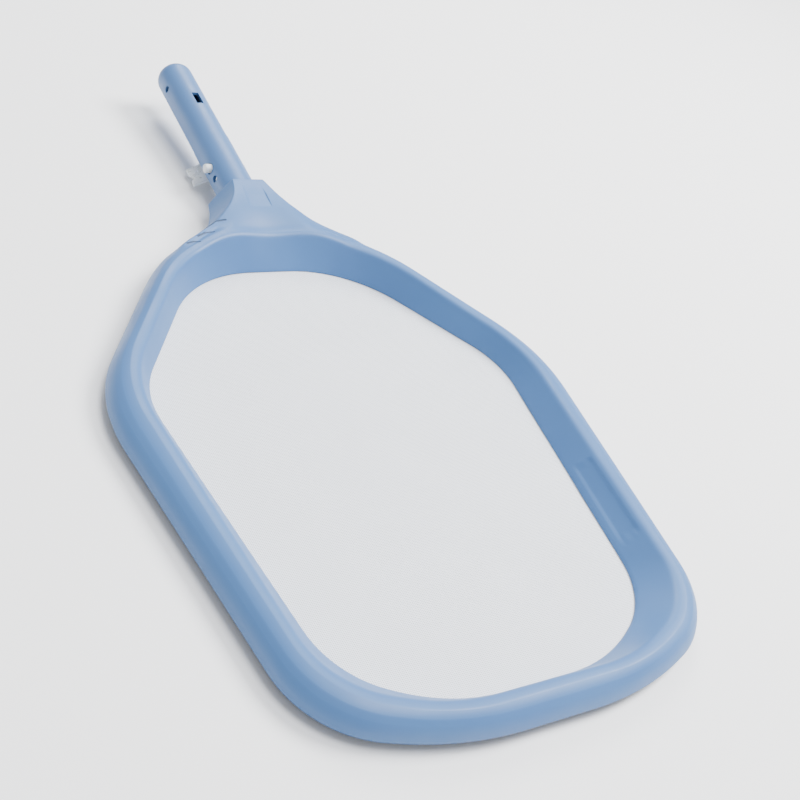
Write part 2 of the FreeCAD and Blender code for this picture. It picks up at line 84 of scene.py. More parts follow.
COLLAR_PASSES, COLLAR_REACH = 14, 0.0035   # softening of the collar's corner, and its share of the way
NECK_CROWD, COLLAR_CROWD, BADGE_CROWD = 11.0, 9.0, 4.0   # how much closer the stations lie there


# ---------------------------------------------------------------- curves
def unit(v):
    """Each vector divided by its length."""
    return v / np.maximum(np.linalg.norm(v, axis=-1, keepdims=True), 1e-9)


def smooth(t):
    """0 below 0, 1 above 1, and 3t^2 - 2t^3 between."""
    t = np.clip(t, 0, 1)
    return t * t * (3 - 2 * t)


def rounded_half(corners, shares):
    """Points on the +X half of a symmetric outline with filleted corners.

    The half runs from the middle of the handle side to the middle of the front. Each corner is
    swapped for an arc tangent to its two sides, and the points lie at the given shares of the length.
    """
    at = np.array([(x, y) for x, y, _ in corners], float)
    path = [np.array([[0.0, at[0, 1]]])]
    points = np.vstack([at[0] * [-1, 1], at, at[-1] * [-1, 1]])
    for k, (_, _, radius) in enumerate(corners):
        corner = points[k + 1]
        back, onward = unit(points[k] - corner), unit(points[k + 2] - corner)
        half = np.arccos(np.clip(back @ onward, -1, 1)) / 2
        centre = corner + unit(back + onward) * radius / np.sin(half)
        start = corner + back * radius / np.tan(half) - centre
        swing = -np.linspace(0, np.pi - 2 * half, 60)
        arc = np.stack([start[0] * np.cos(swing) - start[1] * np.sin(swing),
                        start[0] * np.sin(swing) + start[1] * np.cos(swing)], axis=1)
        path.append(centre + arc)
    path.append(np.array([[0.0, at[-1, 1]]]))
    path = np.vstack(path)
    length = np.concatenate([[0], np.cumsum(np.linalg.norm(np.diff(path, axis=0), axis=1))])
    want = np.asarray(shares) * length[-1]
    return np.stack([np.interp(want, length, path[:, 0]), np.interp(want, length, path[:, 1])], axis=1)


def soften(grid, passes, weight):
    """Each point moved towards the mean of the points before and after it, by a weight for each row."""
    inside = weight[1:-1, None, None]
    for _ in range(passes):
        mean = (grid[:-2] + grid[2:]) / 2
        grid[1:-1] += (mean - grid[1:-1]) * inside


# ---------------------------------------------------------------- meshes
def mesh_piece(name, vertices, faces, body, replaced=(), extra=None):
    """A smooth-shaded piece in metres, riding on a body. EXTRA holds faces of another size."""
    mesh = bpy.data.meshes.new(name)
    more = [] if extra is None else extra.tolist()
    mesh.from_pydata(vertices.tolist(), [], faces.tolist() + more)
    mesh.validate()
    mesh.update()
    mesh.shade_smooth()
    piece = bpy.data.objects.new(name, mesh)
    bpy.context.scene.collection.objects.link(piece)
    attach(piece, body)
    if replaced:
        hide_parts(*replaced)
    return piece


def grid_faces(rows, columns, wrap_rows, wrap_columns):
    """Quads between neighbouring points of a grid, joined end to end where a direction wraps."""
    r = np.arange(rows if wrap_rows else rows - 1)
    c = np.arange(columns if wrap_columns else columns - 1)
    a, b = np.meshgrid(r, c, indexing="ij")
    a2, b2 = (a + 1) % rows, (b + 1) % columns
    quads = np.stack([a * columns + b, a2 * columns + b, a2 * columns + b2, a * columns + b2], axis=-1)
    return quads.reshape(-1, 4)


def rounded_sections(corners, setbacks, arc_points, run_points):
    """Closed sections with rounded corners, one for each station.

    corners is stations x corners x 3, and setbacks is stations x corners. Round each corner the section
    is the parabola tangent to both sides at the corner's setback, limited to just under half of the
    shorter side. run_points more points divide the straight run that follows each corner.
    """
    before, after = np.roll(corners, 1, axis=1), np.roll(corners, -1, axis=1)
    room_before = np.linalg.norm(before - corners, axis=2)
    room_after = np.linalg.norm(after - corners, axis=2)
    reach = np.asarray(setbacks)
    enter = corners + unit(before - corners) * np.minimum(reach, 0.49 * room_before)[..., None]
    leave = corners + unit(after - corners) * np.minimum(reach, 0.49 * room_after)[..., None]
    pieces = []
    for k in range(corners.shape[1]):
        t = np.linspace(0, 1, arc_points[k])[None, :, None]
        start, middle, end = (p[:, k][:, None, :] for p in (enter, corners, leave))
        pieces.append(start * (1 - t) ** 2 + 2 * middle * t * (1 - t) + end * t ** 2)
        nxt = enter[:, (k + 1) % corners.shape[1]][:, None, :]
        t = np.linspace(0, 1, run_points[k] + 2)[None, 1:-1, None]
        pieces.append(end * (1 - t) + nxt * t)
    return np.concatenate(pieces, axis=1)


# ---------------------------------------------------------------- materials
NOISE_LOW, NOISE_HIGH = 0.3, 0.7
PLASTIC_IOR = 1.49
FLOW_RIPPLE = 0.00012      # m, the faint waves that moulding leaves
WEAVE_PITCH, THREAD_SHARE, THREAD_RELIEF = 0.0011, 0.62, 0.00015
GROOVE_FLOOR = 0.35        # share of the groove's half width that is at full depth


def new_material(name):
    """A node material, with its nodes, its links and its surface shader."""
    material = bpy.data.materials.new(name)
    material.use_nodes = True
    nodes, links = material.node_tree.nodes, material.node_tree.links
    return material, nodes, links, nodes["Principled BSDF"]


def object_noise(nodes, links, scale, detail, stretch=(1, 1, 1)):
    """Noise on Object coordinates, whose scale is in features per metre."""
    where = nodes.new("ShaderNodeTexCoord")
    mapping = nodes.new("ShaderNodeMapping")
    mapping.inputs["Scale"].default_value = stretch
    links.new(where.outputs["Object"], mapping.inputs["Vector"])
    noise = nodes.new("ShaderNodeTexNoise")
    noise.inputs["Scale"].default_value = scale
    noise.inputs["Detail"].default_value = detail
    noise.inputs["Roughness"].default_value = 0.55
    links.new(mapping.outputs["Vector"], noise.inputs["Vector"])
    return noise.outputs["Fac"]


def ranged(nodes, links, value, low, high):
    """A noise value, which keeps near its middle, mapped to low to high."""
    node = nodes.new("ShaderNodeMapRange")
    node.inputs["From Min"].default_value = NOISE_LOW
    node.inputs["From Max"].default_value = NOISE_HIGH
    node.inputs["To Min"].default_value = low
    node.inputs["To Max"].default_value = high
    links.new(value, node.inputs["Value"])
    return node.outputs["Result"]


def two_tone(nodes, links, value, dark, light):
    """A colour between two tones."""
    mix = nodes.new("ShaderNodeMix")
    mix.data_type = "RGBA"
    mix.inputs["A"].default_value = (*dark, 1)
    mix.inputs["B"].default_value = (*light, 1)
    links.new(ranged(nodes, links, value, 0, 1), mix.inputs["Factor"])
    return mix.outputs["Result"]


def bump(nodes, links, shader, layers):
    """Stacked bumps, each (height value, depth in metres)."""
    normal = None
    for height, depth in layers:
        node = nodes.new("ShaderNodeBump")
        node.inputs["Strength"].default_value = 1.0
        node.inputs["Distance"].default_value = depth
        links.new(height, node.inputs["Height"])
        if normal is not None:
            links.new(normal, node.inputs["Normal"])
        normal = node.outputs["Normal"]
    links.new(normal, shader.inputs["Normal"])


def math_node(nodes, links, kind, operation, first, second=None):
    """A Math or VectorMath node with its first two inputs linked or set."""
    node = nodes.new(kind)
    node.operation = operation
    for slot, given in enumerate((first, second)):
        if isinstance(given, bpy.types.NodeSocket):
            links.new(given, node.inputs[slot])
        elif given is not None:
            node.inputs[slot].default_value = given
    return node


def groove_mask(nodes, links):
    """1 along the mould grooves on the left flank, drawn in plan, and 0 away from them: where they sink and
    where painted shade darkens them.
    """
    where = nodes.new("ShaderNodeTexCoord")
    split = nodes.new("ShaderNodeSeparateXYZ")
    links.new(where.outputs["Object"], split.inputs["Vector"])
    plan = nodes.new("ShaderNodeCombineXYZ")
    leftward = math_node(nodes, links, "ShaderNodeMath", "MULTIPLY", split.outputs["X"], -1.0)
    links.new(leftward.outputs[0], plan.inputs["X"])
    links.new(split.outputs["Y"], plan.inputs["Y"])
    nearest = None
    for points in GROOVES:
        ends = (np.array(points, float) + ORIGIN[:2]) * MM
        for start, end in zip(ends[:-1], ends[1:]):
            run = np.append(end - start, 0.0)
            from_start = math_node(nodes, links, "ShaderNodeVectorMath", "SUBTRACT", plan.outputs[0],
                                   (*start, 0.0)).outputs["Vector"]
            share = math_node(nodes, links, "ShaderNodeVectorMath", "DOT_PRODUCT", from_start,
                              tuple(run / run.dot(run))).outputs["Value"]
            held = math_node(nodes, links, "ShaderNodeMath", "MULTIPLY", share, 1.0)
            held.use_clamp = True
            foot = math_node(nodes, links, "ShaderNodeVectorMath", "SCALE", tuple(run))
            links.new(held.outputs[0], foot.inputs["Scale"])
            gap = math_node(nodes, links, "ShaderNodeVectorMath", "DISTANCE", from_start,
                            foot.outputs["Vector"]).outputs["Value"]
            nearest = gap if nearest is None else \
                math_node(nodes, links, "ShaderNodeMath", "MINIMUM", nearest, gap).outputs[0]
    ease = nodes.new("ShaderNodeMapRange")
    ease.interpolation_type = "SMOOTHSTEP"
    ease.inputs["From Min"].default_value = GROOVE_FLOOR * GROOVE_HALF * MM
    ease.inputs["From Max"].default_value = GROOVE_HALF * MM
    ease.inputs["To Min"].default_value = 1.0
    ease.inputs["To Max"].default_value = 0.0
    links.new(nearest, ease.inputs["Value"])
    return ease.outputs["Result"]


def moulded_plastic(name, dark, light, roughness, grain, grooved=False):
    """Satin moulded plastic: faint flow mottling, a fine grain and slightly uneven gloss. When grooved, the
    grooves are sunk by a bump and darkened with painted shade.
    """
    material, nodes, links, shader = new_material(name)
    mottle = object_noise(nodes, links, 14, 3, (1, 0.35, 1))
    tone = two_tone(nodes, links, mottle, dark, light)
    layers = [(object_noise(nodes, links, 1600, 2), grain), (object_noise(nodes, links, 30, 2), FLOW_RIPPLE)]
    if grooved:
        mask = groove_mask(nodes, links)
        # painted shade: the grooves' colour is darkened towards a share of the dark tone, standing in for the
        # shade that falls inside them
        painted_groove_shade = nodes.new("ShaderNodeMix")
        painted_groove_shade.data_type = "RGBA"
        painted_groove_shade.inputs["B"].default_value = (*[GROOVE_PAINTED_SHADE * c for c in dark], 1)
        links.new(tone, painted_groove_shade.inputs["A"])
        links.new(mask, painted_groove_shade.inputs["Factor"])
        tone = painted_groove_shade.outputs["Result"]
        sunk = math_node(nodes, links, "ShaderNodeMath", "SUBTRACT", 1.0, mask).outputs[0]
        layers.append((sunk, GROOVE_DEPTH * MM))
    links.new(tone, shader.inputs["Base Color"])
    smudge = object_noise(nodes, links, 45, 4)
    links.new(ranged(nodes, links, smudge, roughness - 0.05, roughness + 0.07), shader.inputs["Roughness"])
    bump(nodes, links, shader, layers)
    shader.inputs["IOR"].default_value = PLASTIC_IOR
    shader.inputs["Subsurface Weight"].default_value = 0.06
    shader.inputs["Subsurface Radius"].default_value = (0.0015, 0.002, 0.003)
    shader.inputs["Subsurface Scale"].default_value = 1.0
    return material


def threads(nodes, links, axis, pitch, share):
    """1 on the threads that run across an axis and 0 in the gaps, eased at the edges."""
    where = nodes.new("ShaderNodeTexCoord")
    split = nodes.new("ShaderNodeSeparateXYZ")
    links.new(where.outputs["Object"], split.inputs["Vector"])
    wave = split.outputs[axis]
    for operation, number in (("MULTIPLY", 2 * math.pi / pitch), ("COSINE", 0)):
        step = nodes.new("ShaderNodeMath")
        step.operation = operation
        step.inputs[1].default_value = number
        links.new(wave, step.inputs[0])
        wave = step.outputs["Value"]
    edge = math.cos(math.pi * share)
    ease = nodes.new("ShaderNodeMapRange")
    ease.inputs["From Min"].default_value = edge - 0.25
    ease.inputs["From Max"].default_value = edge + 0.25
    links.new(wave, ease.inputs["Value"])
    return ease.outputs["Result"]


def woven_mesh(name, colour, pitch, share):
    """Fine woven mesh: two sets of round threads, with the gaps between them let through."""
    material, nodes, links, shader = new_material(name)
    sets = [threads(nodes, links, axis, pitch, share) for axis in ("X", "Y")]
    cloth = nodes.new("ShaderNodeMath")
    cloth.operation = "MAXIMUM"
    links.new(sets[0], cloth.inputs[0])
    links.new(sets[1], cloth.inputs[1])
    tone = object_noise(nodes, links, 18, 3)
    pale = tuple(0.96 * c for c in colour)
    links.new(two_tone(nodes, links, tone, pale, colour), shader.inputs["Base Color"])
    links.new(ranged(nodes, links, tone, 0.62, 0.74), shader.inputs["Roughness"])
    bump(nodes, links, shader, [(cloth.outputs["Value"], THREAD_RELIEF)])
    shader.inputs["Subsurface Weight"].default_value = 0.2
    shader.inputs["Subsurface Radius"].default_value = (0.0008, 0.0008, 0.0008)
    shader.inputs["Subsurface Scale"].default_value = 1.0
    cover = ranged(nodes, links, cloth.outputs["Value"], MESH_GAP_COVER, 1.0)
    links.new(cover, shader.inputs["Alpha"])
    return material


def spring_plastic(name, colour):
    """Translucent white plastic with a milky body and a soft gloss."""
    material, nodes, links, shader = new_material(name)
    cloud = object_noise(nodes, links, 120, 3)
    dark = tuple(0.9 * c for c in colour)
    links.new(two_tone(nodes, links, cloud, dark, colour), shader.inputs["Base Color"])
    links.new(ranged(nodes, links, cloud, 0.22, 0.34), shader.inputs["Roughness"])
    bump(nodes, links, shader, [(object_noise(nodes, links, 900, 2), 0.00001)])
    shader.inputs["Subsurface Weight"].default_value = 0.6
    shader.inputs["Subsurface Radius"].default_value = (0.003, 0.003, 0.0035)
    shader.inputs["Subsurface Scale"].default_value = 1.0
    shader.inputs["Transmission Weight"].default_value = 0.25
    shader.inputs["IOR"].default_value = PLASTIC_IOR
    return material


def stainless(name):
    """Turned stainless steel with fine scratches."""
    material, nodes, links, shader = new_material(name)
    scratch = object_noise(nodes, links, 900, 4, (1, 1, 0.15))
    links.new(two_tone(nodes, links, scratch, STEEL_DARK, STEEL_LIGHT), shader.inputs["Base Color"])
    links.new(ranged(nodes, links, scratch, 0.25, 0.42), shader.inputs["Roughness"])
    bump(nodes, links, shader, [(scratch, 0.00001)])
    shader.inputs["Metallic"].default_value = 1.0
    return material


def wear(material, *nodes):
    """Gives CAD nodes and pieces a material."""
    for node in nodes:
        node.data.materials.clear()
        node.data.materials.append(material)


MESH_GAP_COVER = 0.35      # how much of a gap between threads still shows as cloth
BLUE_DARK, BLUE_LIGHT = (0.056, 0.150, 0.355), (0.064, 0.168, 0.380)
TUBE_DARK, TUBE_LIGHT = (0.063, 0.152, 0.345), (0.074, 0.17, 0.37)
NET_COLOUR = (0.86, 0.895, 0.96)
CLIP_COLOUR = (0.80, 0.85, 0.90)
STEEL_DARK, STEEL_LIGHT = (0.42, 0.43, 0.44), (0.62, 0.62, 0.63)

# the head's plastic carries the grooves, with painted shade in them
head_finish = moulded_plastic("steel blue head plastic", BLUE_DARK, BLUE_LIGHT, 0.46, 0.000018, grooved=True)
ring_finish = moulded_plastic("steel blue ring plastic", BLUE_DARK, BLUE_LIGHT, 0.50, 0.00002)
tube_finish = moulded_plastic("steel blue handle plastic", TUBE_DARK, TUBE_LIGHT, 0.42, 0.000012)
net_finish = woven_mesh("pale woven net", NET_COLOUR, WEAVE_PITCH, THREAD_SHARE)
clip_finish = spring_plastic("translucent clip plastic", CLIP_COLOUR)
steel_finish = stainless("stainless steel")
wear(ring_finish, nodes_of["net_ring"])
wear(tube_finish, nodes_of["handle_tube"])
wear(clip_finish, nodes_of["clip_bend"], nodes_of["clip_arm_right"], nodes_of["clip_arm_left"])
wear(steel_finish, *(node for name, node in nodes_of.items() if name.startswith(("ring_screw", "socket_"))))


# ---------------------------------------------------------------- head
def knotted(knots, points, at):
    """A smooth curve that passes each point at its knot, with slopes from the neighbouring points."""
    knots, points = np.asarray(knots, float), np.asarray(points, float)
    slope = np.gradient(points, knots, axis=0)
    at = np.clip(at, knots[0], knots[-1])
    k = np.clip(np.searchsorted(knots, at, side="right") - 1, 0, len(knots) - 2)
    width = (knots[k + 1] - knots[k])[:, None]
    t = (at[:, None] - knots[k][:, None]) / width
    return ((2 * t ** 3 - 3 * t ** 2 + 1) * points[k] + (t ** 3 - 2 * t ** 2 + t) * width * slope[k]
            + (3 * t ** 2 - 2 * t ** 3) * points[k + 1] + (t ** 3 - t ** 2) * width * slope[k + 1])


def chord_knots(points, first, last):
    """Knots from first to last, spread as the points are along their chords."""
    points = np.asarray(points, float)
    run = np.concatenate([[0], np.cumsum(np.linalg.norm(np.diff(points, axis=0), axis=1))])
    return first + (last - first) * run / run[-1]


def half_stations():
    """Shares of the half outline, closest together on the neck and at the ends of the badge."""
    share = np.linspace(0, 1, 6001)
    y = rounded_half(CREST, share)[:, 1]
    crowd = 1.0 + NECK_CROWD * (1 - smooth((share - NECK_END + 0.02) / 0.05))
    crowd += COLLAR_CROWD * np.exp(-((share - COLLAR_SHARE) / 0.004) ** 2)
    for edge in (BADGE_FROM, BADGE_TO):
        crowd += BADGE_CROWD * np.exp(-((y - edge) / 2.5) ** 2)
    total = np.concatenate([[0], np.cumsum((crowd[1:] + crowd[:-1]) / 2)])
    return np.interp(np.linspace(0, total[-1], HALF_STATIONS), total, share)


def level(points, height):
    """Plan points with one height each."""
    return np.concatenate([points, np.broadcast_to(np.asarray(height, float), len(points))[:, None]], axis=1)


def crest_height(y):
    """Height of the crest, which climbs from the shoulders to the neck."""
    return RIM_HEIGHT + NECK_RISE * smooth(y / 110.0)


def rim_corners(share, wall):
    """Named corners of the rim's section, for its skin (wall 0) or the hollow behind its wall."""
    inner, crest, lip = (rounded_half(outline, share) for outline in (OPENING, CREST, LIP))
    rise, out = unit(crest - inner), unit(lip - crest)
    top = crest_height(crest[:, 1]) - wall
    crest_in = level(crest - rise * (CREST_TUCK_IN - wall * 0.6), top - CREST_DROP_IN)
    crest_out = level(crest + out * CREST_TUCK_OUT, top - CREST_DROP_OUT)
    edge = level(lip - out * wall, LIP_HEIGHT)
    across, fall = (edge - crest_out) * [1, 1, 0], (edge - crest_out) * [0, 0, 1]
    pull = crest_out + across * BULGE_ACROSS + fall * BULGE_DOWN
    shoulder = [crest_out * (1 - t) ** 2 + 2 * pull * t * (1 - t) + edge * t ** 2 for t in SHOULDER_SHARES]
    return inner, rise, out, crest_in, crest_out, shoulder, edge


def neck_top(y):
    """Height of the neck's top, rising from the crest to the collar."""
    rows = np.array([(0, 22.6), (126, 22.6), (131, 23.2), (136, 25.4), (144, 28.8), (154, 31.6), (166, 33.4),
                     (177, 33.8), (190, 33.8)], float)
    return knotted(rows[:, 0], rows[:, 1:], np.asarray(y, float))[:, 0]


def collar_face(share):
    """Top edge and lower edge of the collar's flat end, from the middle to its corner.

    The lower edge follows the handle's bore round to the height of the flank's foot, and then runs
    straight out to the corner.
    """
    t = np.clip(share / COLLAR_SHARE, 0, 1)
    half_top, half_base, low = RIDGE[0][0], SKIRT[0][0], SKIRT[0][2]
    turn = np.minimum(t / 0.72, 1) * (np.pi / 2 + np.arcsin((COLLAR_Z - low) / BORE_R))
    arc = np.stack([BORE_R * np.sin(turn), np.full_like(t, COLLAR_Y), COLLAR_Z + BORE_R * np.cos(turn)], axis=1)
    end = np.array([half_base, COLLAR_Y, low])
    beyond = np.clip((t - 0.72) / 0.28, 0, 1)[:, None]
    return np.stack([half_top * t, np.full_like(t, COLLAR_Y), np.full_like(t, RIDGE[0][2])], axis=1), \
        arc * (1 - beyond) + end * beyond


def neck_curves(share, edge, shoulder):
    """Ridge and lower edge of the neck's flank, each running on into the rim."""
    start = COLLAR_SHARE
    onward = np.array([NECK_END + step for step in (0.012, 0.03, 0.05, 0.075)])
    beyond = rim_corners(onward, 0)
    ridge_knots = np.concatenate([chord_knots(RIDGE, start, NECK_END - 0.012), onward])
    ridge = knotted(ridge_knots, np.vstack([RIDGE, beyond[5][3]]), share)
    skirt_knots = np.concatenate([chord_knots(SKIRT, start, NECK_END - 0.022), onward])
    skirt = knotted(skirt_knots, np.vstack([SKIRT, beyond[6]]), share)
    face_top, face_low = collar_face(share)
    on_face = (share < start)[:, None]
    past = (share > onward[-1])[:, None]
    ridge = np.where(on_face, face_top, np.where(past, shoulder[3], ridge))
    skirt = np.where(on_face, face_low, np.where(past, edge, skirt))
    return ridge, skirt


def plan_inward(curve):
    """Level unit vectors to the inner side of a curve that runs from the middle to the right."""
    along = unit(np.gradient(curve[:, :2], axis=0))
    return np.stack([along[:, 1], -along[:, 0], np.zeros(len(along))], axis=1)


def head_sections(share):
    """Corners of the head's closed section at each share of the half outline."""
    inner, rise, out, crest_in, crest_out, shoulder, edge = rim_corners(share, 0)
    _, _, _, hollow_in, hollow_out, hollow_shoulder, hollow_edge = rim_corners(share, WALL)
    rim = smooth((share - NECK_END + 0.03) / 0.055)[:, None]
    face = share <= COLLAR_SHARE
    ridge, skirt = neck_curves(share, edge, shoulder)
    hump = CREST_WAVE * (1 - rim[:, 0]) * np.sin(np.pi * np.clip(share / NECK_END, 0, 1)) ** 2
    crest_in = crest_in + level(np.zeros((len(share), 2)), hump)
    crest_out = crest_out + level(np.zeros((len(share), 2)), hump)
    plate, hollow_plate = [], []
    for k, t in enumerate((0.25, 0.5, 0.75)):
        on_plate = crest_out * (1 - t) + ridge * t
        on_plate[:, 2] = neck_top(on_plate[:, 1]) + hump * (1 - t) ** 2
        plate.append(on_plate * (1 - rim) + shoulder[k] * rim)
        under = on_plate - [0, 0, NECK_WALL]
        hollow_plate.append(under * (1 - rim) + hollow_shoulder[k] * rim)
    flank = (ridge + skirt) / 2 - plan_inward(skirt) * np.where(face, 0.0, 0.8)[:, None]
    flank = flank * (1 - rim) + shoulder[4] * rim
    inset = COLLAR_Y - NECK_WALL
    tucked = []
    for curve, across, down in ((ridge, 2.1, NECK_WALL), (flank, 3.0, 0.5), (skirt, 3.6, 0.0)):
        moved = curve + np.where(face[:, None], 0, plan_inward(curve) * across) - [0, 0, down]
        corner_x = np.where(share > COLLAR_SHARE, moved[:, 0], 1e3)
        corner_x = corner_x[np.argmax(share > COLLAR_SHARE)]
        moved[:, 0] = np.where(face, np.minimum(moved[:, 0], corner_x), moved[:, 0])
        moved[:, 1] = np.minimum(moved[:, 1], inset)
        tucked.append(moved)
    hollow_ridge = tucked[0] * (1 - rim) + hollow_shoulder[3] * rim
    hollow_flank = tucked[1] * (1 - rim) + hollow_shoulder[4] * rim
    hollow_skirt = tucked[2] * (1 - rim) + hollow_edge * rim
    neck_lip = (skirt + tucked[2]) / 2
    rim_lip = edge - level(out * LIP_TUCK, LIP_RISE)
    lip = neck_lip * (1 - rim) + rim_lip * rim
    hollow_out = hollow_out - [0, 0, 0.6] * (1 - rim)
    return np.stack([
        level(inner + rise * FOOT_WIDTH, 0), level(inner, 0), level(inner + rise * 0.3, FOOT_TOE),
        crest_in, crest_out, *plate, ridge, flank, skirt, lip,
        hollow_skirt, hollow_flank, hollow_ridge, *hollow_plate[::-1], hollow_out, hollow_in,
        level(inner + rise * (WALL + 3.0), WALL), level(inner + rise * FOOT_WIDTH, WALL)], axis=1)


# for each corner of the section: its round in mm, and the points on the round and on the run after it
FOOT_CORNERS = [(0.3, 2, 2), (0.35, 2, 1)]
WALL_CORNERS = [(0.6, 2, 14), (2.6, 5, 2)]
TOP_CORNERS = [(2.6, 5, 5), (9, 3, 5), (9, 3, 5), (9, 3, 5), (4.0, 6, 5)]
FLANK_CORNERS = [(9, 3, 7), (0.8, 3, 1), (0.6, 2, 1)]
HOLLOW_CORNERS = [(0.8, 2, 1), (9, 2, 1), (3.0, 3, 1), (9, 2, 1), (9, 2, 1), (9, 2, 1),
                  (2.0, 2, 1), (1.5, 2, 3), (0.8, 2, 1), (0.3, 2, 1)]
RIDGE_CORNER, RIDGE_SOFTENING = 8, 5.0    # its place in the list, and how much wider its round grows
CORNERS = FOOT_CORNERS + WALL_CORNERS + TOP_CORNERS + FLANK_CORNERS + HOLLOW_CORNERS


def vertex_normals(grid):
    """Unit outward normals of a grid that wraps both ways."""
    along = np.roll(grid, -1, axis=0) - np.roll(grid, 1, axis=0)
    across = np.roll(grid, -1, axis=1) - np.roll(grid, 1, axis=1)
    return unit(np.cross(along, across))


def moulded_head():
    """The scoop's rim and its neck, as one closed surface.

    The two parameters are the way round the rim and the way round its section: from the foot under the
    net, up the inner wall, over the crest, out across the neck's top or the rim's shoulder, down the
    outer wall to the lip, and back inside the wall. Each section is a polygon whose corners follow the
    rim's and the neck's edges, rounded by parabolas. The blank panel and the blank badge are moved in
    along the surface's normal by smooth steps.
    """
    share = half_stations()
    half = head_sections(share)
    setbacks = np.tile([float(c[0]) for c in CORNERS], (len(share), 1))
    setbacks[:, RIDGE_CORNER] = 1.5 + RIDGE_SOFTENING * smooth((share - COLLAR_SHARE - 0.01) / 0.045)
    grid = rounded_sections(half, setbacks, [c[1] for c in CORNERS], [c[2] for c in CORNERS])
    soften(grid, COLLAR_PASSES, np.exp(-((share - COLLAR_SHARE) / COLLAR_REACH) ** 2))
    grid[0, :, 0] = 0.0
    grid[-1, :, 0] = 0.0
    left = grid[-2:0:-1] * [-1, 1, 1]
    grid = np.concatenate([grid, left], axis=0)
    share = np.concatenate([share, share[-2:0:-1]])
    column = np.cumsum([0] + [c[1] + c[2] for c in CORNERS])
    index = np.arange(grid.shape[1])
    normal = vertex_normals(grid)
    depth = np.zeros(grid.shape[:2])
    top = (index >= column[4]) & (index < column[8] + 3)
    x, y, z = grid[..., 0], grid[..., 1], grid[..., 2]
    panel = smooth((PANEL_HALF_WIDTH - abs(x)) / PANEL_EASE_SIDE + 0.5)
    panel = panel * smooth((y - PANEL_FROM) / PANEL_EASE_BACK + 0.5)
    panel = panel * smooth((PANEL_TO - y) / PANEL_EASE_FRONT + 0.5)
    depth += PANEL_DEPTH * panel * top[None, :]
    wall = (index >= column[2] + 1) & (index <= column[3] + 2)
    up = (z - FOOT_TOE) / (RIM_HEIGHT - FOOT_TOE - CREST_DROP_IN)
    badge = smooth((y - BADGE_FROM) / BADGE_EASE + 0.5) * smooth((BADGE_TO - y) / BADGE_EASE + 0.5)
    badge = badge * smooth((up - BADGE_LOW) / BADGE_EASE_UP + 0.5)
    badge = badge * smooth((BADGE_HIGH - up) / BADGE_EASE_UP + 0.5)
    depth += BADGE_DEPTH * badge * wall[None, :] * (x > 0)
    grid = grid - normal * depth[..., None]
    faces = grid_faces(grid.shape[0], grid.shape[1], True, True)
    piece = mesh_piece("moulded_head", (grid.reshape(-1, 3) + ORIGIN) * MM, faces, "skimmer",
                       ["head_frame"])
    wear(head_finish, piece)
    return piece


ON_AXIS = 0.01             # mm, radius at which a closed end meets its axis
SOCKET_BEVEL, SOCKET_MOUTH = 1.0, -1.2
ABOVE_RING, UNDER_ROOF = 0.1, 0.8
BOSS_HOLE_R, BOSS_R, BOSS_TOP_R = 1.45, 3.2, 2.2
BOSS_SHOULDER, BOSS_HEIGHT = 3.2, 4.7


def turned(profile, base, axis, steps):
    """A profile of (radius, height) points carried round an axis: a grid closed both ways."""
    axis = unit(np.asarray(axis, float))
    side = unit(np.cross(axis, [1.0, 0.0, 0.0] if abs(axis[0]) < 0.5 else [0.0, 1.0, 0.0]))
    other = np.cross(axis, side)
    turn = np.arange(steps)[:, None, None] * 2 * np.pi / steps
    r, h = np.asarray(profile, float).T[:, None, :, None]
    grid = np.asarray(base, float) + r * (np.cos(turn) * side + np.sin(turn) * other) + h * axis
    return grid.reshape(-1, 3), grid_faces(steps, len(profile), True, True)


def hidden_supports():
    """The tube that holds the handle's stub, and the bosses that the ring's screws go into."""
    tilt = math.radians(HANDLE_TILT)
    axis = np.array([0.0, math.cos(tilt), math.sin(tilt)])
    outer, end = BORE_R + SOCKET_WALL, -SOCKET_DEPTH - SOCKET_WALL
    profile = [(ON_AXIS, end), (outer - SOCKET_BEVEL, end), (outer, end + SOCKET_BEVEL), (outer, SOCKET_MOUTH),
               (BORE_R, SOCKET_MOUTH), (BORE_R, -SOCKET_DEPTH), (ON_AXIS, -SOCKET_DEPTH)]
    points, faces = turned(profile, [0, COLLAR_Y, COLLAR_Z], axis, 96)
    points[:, 2] = np.maximum(points[:, 2], ABOVE_RING)
    points[:, 2] = np.minimum(points[:, 2], neck_top(points[:, 1]) - UNDER_ROOF)
    tube = mesh_piece("handle_socket", (points + ORIGIN) * MM, faces, "skimmer", ["head_frame"])
    wear(head_finish, tube)
    profile = [(BOSS_HOLE_R, 0.0), (BOSS_R, 0.0), (BOSS_R, BOSS_SHOULDER), (BOSS_TOP_R, BOSS_HEIGHT),
               (BOSS_HOLE_R, BOSS_HEIGHT)]
    for name, node in nodes_of.items():
        if name.startswith("ring_screw"):
            low, high = (np.array(corner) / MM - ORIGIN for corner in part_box(name))
            middle = [(low[0] + high[0]) / 2, (low[1] + high[1]) / 2, 0.0]
            points, faces = turned(profile, middle, [0, 0, 1], 32)
            boss_name = name.replace("ring_screw", "screw_boss")
            boss = mesh_piece(boss_name, (points + ORIGIN) * MM, faces, "skimmer", ["head_frame"])
            wear(head_finish, boss)


moulded_head()
hidden_supports()


# ---------------------------------------------------------------- net
NET_AROUND, NET_INWARD, NET_CORE = 240, 40, 0.02    # points round, points inward, share where they end
NET_Z, NET_RIPPLE, RIPPLES = -0.4, 0.1, 12          # mm, mm, and one ripple for each screw
CLOTH_THICKNESS = 0.0003                            # m


